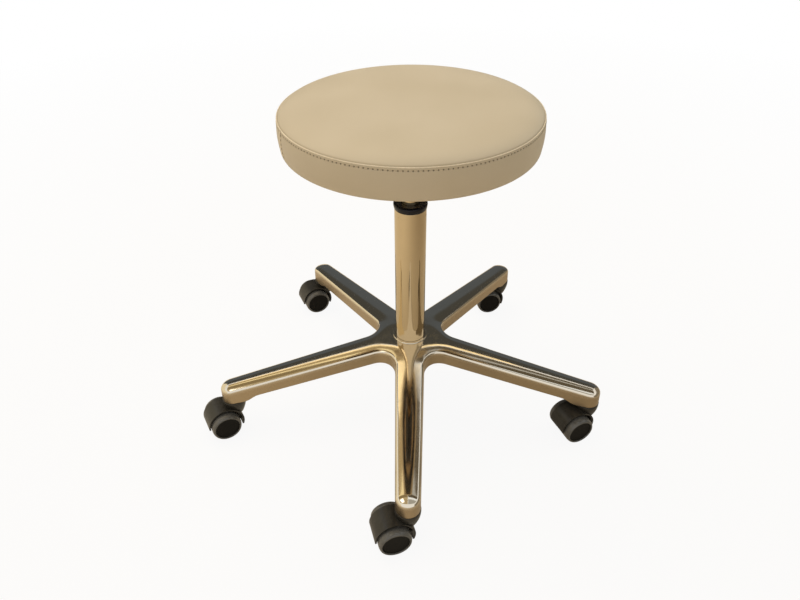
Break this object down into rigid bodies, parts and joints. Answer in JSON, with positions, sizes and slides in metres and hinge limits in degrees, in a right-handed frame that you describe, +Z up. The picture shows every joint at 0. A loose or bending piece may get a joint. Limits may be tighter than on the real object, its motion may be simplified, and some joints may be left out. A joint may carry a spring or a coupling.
{
  "type": "rolling stool",
  "caption": "Round upholstered seat on a gas lift column that swivels and rises, with a polished star base on hooded swivel casters and a release lever under the seat.",
  "frame": {"origin": "on the floor, under the axis of the gas lift column", "axes": "+Z up along the column; -Y along the arm that points to the front; +X to the right of it"},
  "size_m": [0.6774, 0.6422, 0.5478],
  "materials": {
    "cream_leather": "fine grained synthetic leather, satin",
    "plywood": "sanded plywood",
    "black_lining": "thin non-woven lining",
    "black_steel": "black powder coat",
    "zinc_steel": "bright zinc plate",
    "chrome": "mirror chrome plate",
    "polished_aluminium": "polished casting",
    "gloss_black_plastic": "glossy moulding",
    "hood_black_plastic": "satin moulding",
    "disc_black_plastic": "matt moulding",
    "grey_tread": "soft grey tread",
    "black_rubber": "moulded rubber"
  },
  "bodies": {
    "base": {"star_base": "polished_aluminium", "column_tube": "chrome", "guide_bush": "gloss_black_plastic", "lower_bearing_washer": "zinc_steel", "bearing_ball_cage": "zinc_steel", "caster_1_stem": "zinc_steel", "caster_2_stem": "zinc_steel", "caster_3_stem": "zinc_steel", "caster_4_stem": "zinc_steel", "caster_5_stem": "zinc_steel"},
    "lift_rod": {"piston_rod": "chrome", "upper_bearing_washer": "zinc_steel", "piston": "black_rubber", "rod_bumper": "black_rubber", "rod_clip": "zinc_steel"},
    "seat": {"gas_cylinder": "chrome", "rod_guide": "gloss_black_plastic", "seat_plate": "black_steel", "seat_screw_1": "zinc_steel", "seat_screw_2": "zinc_steel", "seat_screw_3": "zinc_steel", "seat_screw_4": "zinc_steel", "lever_pivot_pin": "zinc_steel", "seat_board": "plywood", "underside_lining": "black_lining", "seat_cushion": "cream_leather"},
    "lever": {"release_lever": "black_steel", "lever_grip": "hood_black_plastic"},
    "button": {"release_button": "zinc_steel"},
    "caster_1": {"caster_1_housing": "hood_black_plastic", "caster_1_axle": "zinc_steel"},
    "caster_1_wheel_a": {"caster_1_wheel_a": "disc_black_plastic", "caster_1_tread_a": "grey_tread"},
    "caster_1_wheel_b": {"caster_1_wheel_b": "disc_black_plastic", "caster_1_tread_b": "grey_tread"},
    "caster_2": {"caster_2_housing": "hood_black_plastic", "caster_2_axle": "zinc_steel"},
    "caster_2_wheel_a": {"caster_2_wheel_a": "disc_black_plastic", "caster_2_tread_a": "grey_tread"},
    "caster_2_wheel_b": {"caster_2_wheel_b": "disc_black_plastic", "caster_2_tread_b": "grey_tread"},
    "caster_3": {"caster_3_housing": "hood_black_plastic", "caster_3_axle": "zinc_steel"},
    "caster_3_wheel_a": {"caster_3_wheel_a": "disc_black_plastic", "caster_3_tread_a": "grey_tread"},
    "caster_3_wheel_b": {"caster_3_wheel_b": "disc_black_plastic", "caster_3_tread_b": "grey_tread"},
    "caster_4": {"caster_4_housing": "hood_black_plastic", "caster_4_axle": "zinc_steel"},
    "caster_4_wheel_a": {"caster_4_wheel_a": "disc_black_plastic", "caster_4_tread_a": "grey_tread"},
    "caster_4_wheel_b": {"caster_4_wheel_b": "disc_black_plastic", "caster_4_tread_b": "grey_tread"},
    "caster_5": {"caster_5_housing": "hood_black_plastic", "caster_5_axle": "zinc_steel"},
    "caster_5_wheel_a": {"caster_5_wheel_a": "disc_black_plastic", "caster_5_tread_a": "grey_tread"},
    "caster_5_wheel_b": {"caster_5_wheel_b": "disc_black_plastic", "caster_5_tread_b": "grey_tread"}
  },
  "joints": [
    {"name": "seat_swivel", "type": "hinge", "parent": "base", "child": "lift_rod", "pos_m": [0, 0, 0.0652], "axis": [0, 0, 1], "continuous": true},
    {"name": "seat_lift", "type": "slide", "parent": "lift_rod", "child": "seat", "axis": [0, 0, 1], "range_m": [-0.025, 0.165]},
    {"name": "release_lever_pivot", "type": "hinge", "parent": "seat", "child": "lever", "pos_m": [0, 0.024, 0.4747], "axis": [1, 0, 0], "range_deg": [0, 5], "stiffness_Nm_per_rad": 6, "springref_deg": -1.72},
    {"name": "release_button_press", "type": "slide", "parent": "seat", "child": "button", "axis": [0, 0, -1], "range_m": [0, 0.0022]},
    {"name": "caster_1_swivel", "type": "hinge", "parent": "base", "child": "caster_1", "pos_m": [0, -0.316, 0.0642], "axis": [0, 0, 1], "continuous": true},
    {"name": "caster_1_wheel_a_spin", "type": "hinge", "parent": "caster_1", "child": "caster_1_wheel_a", "pos_m": [-0.02459, -0.32347, 0.025], "axis": [0.2907, -0.9568, 0], "continuous": true},
    {"name": "caster_1_wheel_b_spin", "type": "hinge", "parent": "caster_1", "child": "caster_1_wheel_b", "pos_m": [-0.02459, -0.32347, 0.025], "axis": [0.2907, -0.9568, 0], "continuous": true},
    {"name": "caster_2_swivel", "type": "hinge", "parent": "base", "child": "caster_2", "pos_m": [0.30053, -0.09765, 0.0642], "axis": [0, 0, 1], "continuous": true},
    {"name": "caster_2_wheel_a_spin", "type": "hinge", "parent": "caster_2", "child": "caster_2_wheel_a", "pos_m": [0.27695, -0.10786, 0.025], "axis": [0.3971, -0.9178, 0], "continuous": true},
    {"name": "caster_2_wheel_b_spin", "type": "hinge", "parent": "caster_2", "child": "caster_2_wheel_b", "pos_m": [0.27695, -0.10786, 0.025], "axis": [0.3971, -0.9178, 0], "continuous": true},
    {"name": "caster_3_swivel", "type": "hinge", "parent": "base", "child": "caster_3", "pos_m": [0.18574, 0.25565, 0.0642], "axis": [0, 0, 1], "continuous": true},
    {"name": "caster_3_wheel_a_spin", "type": "hinge", "parent": "caster_3", "child": "caster_3_wheel_a", "pos_m": [0.16063, 0.25017, 0.025], "axis": [0.213, -0.977, 0], "continuous": true},
    {"name": "caster_3_wheel_b_spin", "type": "hinge", "parent": "caster_3", "child": "caster_3_wheel_b", "pos_m": [0.16063, 0.25017, 0.025], "axis": [0.213, -0.977, 0], "continuous": true},
    {"name": "caster_4_swivel", "type": "hinge", "parent": "base", "child": "caster_4", "pos_m": [-0.18574, 0.25565, 0.0642], "axis": [0, 0, 1], "continuous": true},
    {"name": "caster_4_wheel_a_spin", "type": "hinge", "parent": "caster_4", "child": "caster_4_wheel_a", "pos_m": [-0.2089, 0.2445, 0.025], "axis": [0.4337, -0.9011, 0], "continuous": true},
    {"name": "caster_4_wheel_b_spin", "type": "hinge", "parent": "caster_4", "child": "caster_4_wheel_b", "pos_m": [-0.2089, 0.2445, 0.025], "axis": [0.4337, -0.9011, 0], "continuous": true},
    {"name": "caster_5_swivel", "type": "hinge", "parent": "base", "child": "caster_5", "pos_m": [-0.30053, -0.09765, 0.0642], "axis": [0, 0, 1], "continuous": true},
    {"name": "caster_5_wheel_a_spin", "type": "hinge", "parent": "caster_5", "child": "caster_5_wheel_a", "pos_m": [-0.32279, -0.1105, 0.025], "axis": [0.5, -0.866, 0], "continuous": true},
    {"name": "caster_5_wheel_b_spin", "type": "hinge", "parent": "caster_5", "child": "caster_5_wheel_b", "pos_m": [-0.32279, -0.1105, 0.025], "axis": [0.5, -0.866, 0], "continuous": true}
  ],
  "couplings": [
    {"joint": "release_button_press", "follows": "release_lever_pivot", "m_per_rad": 0.024}
  ]
}
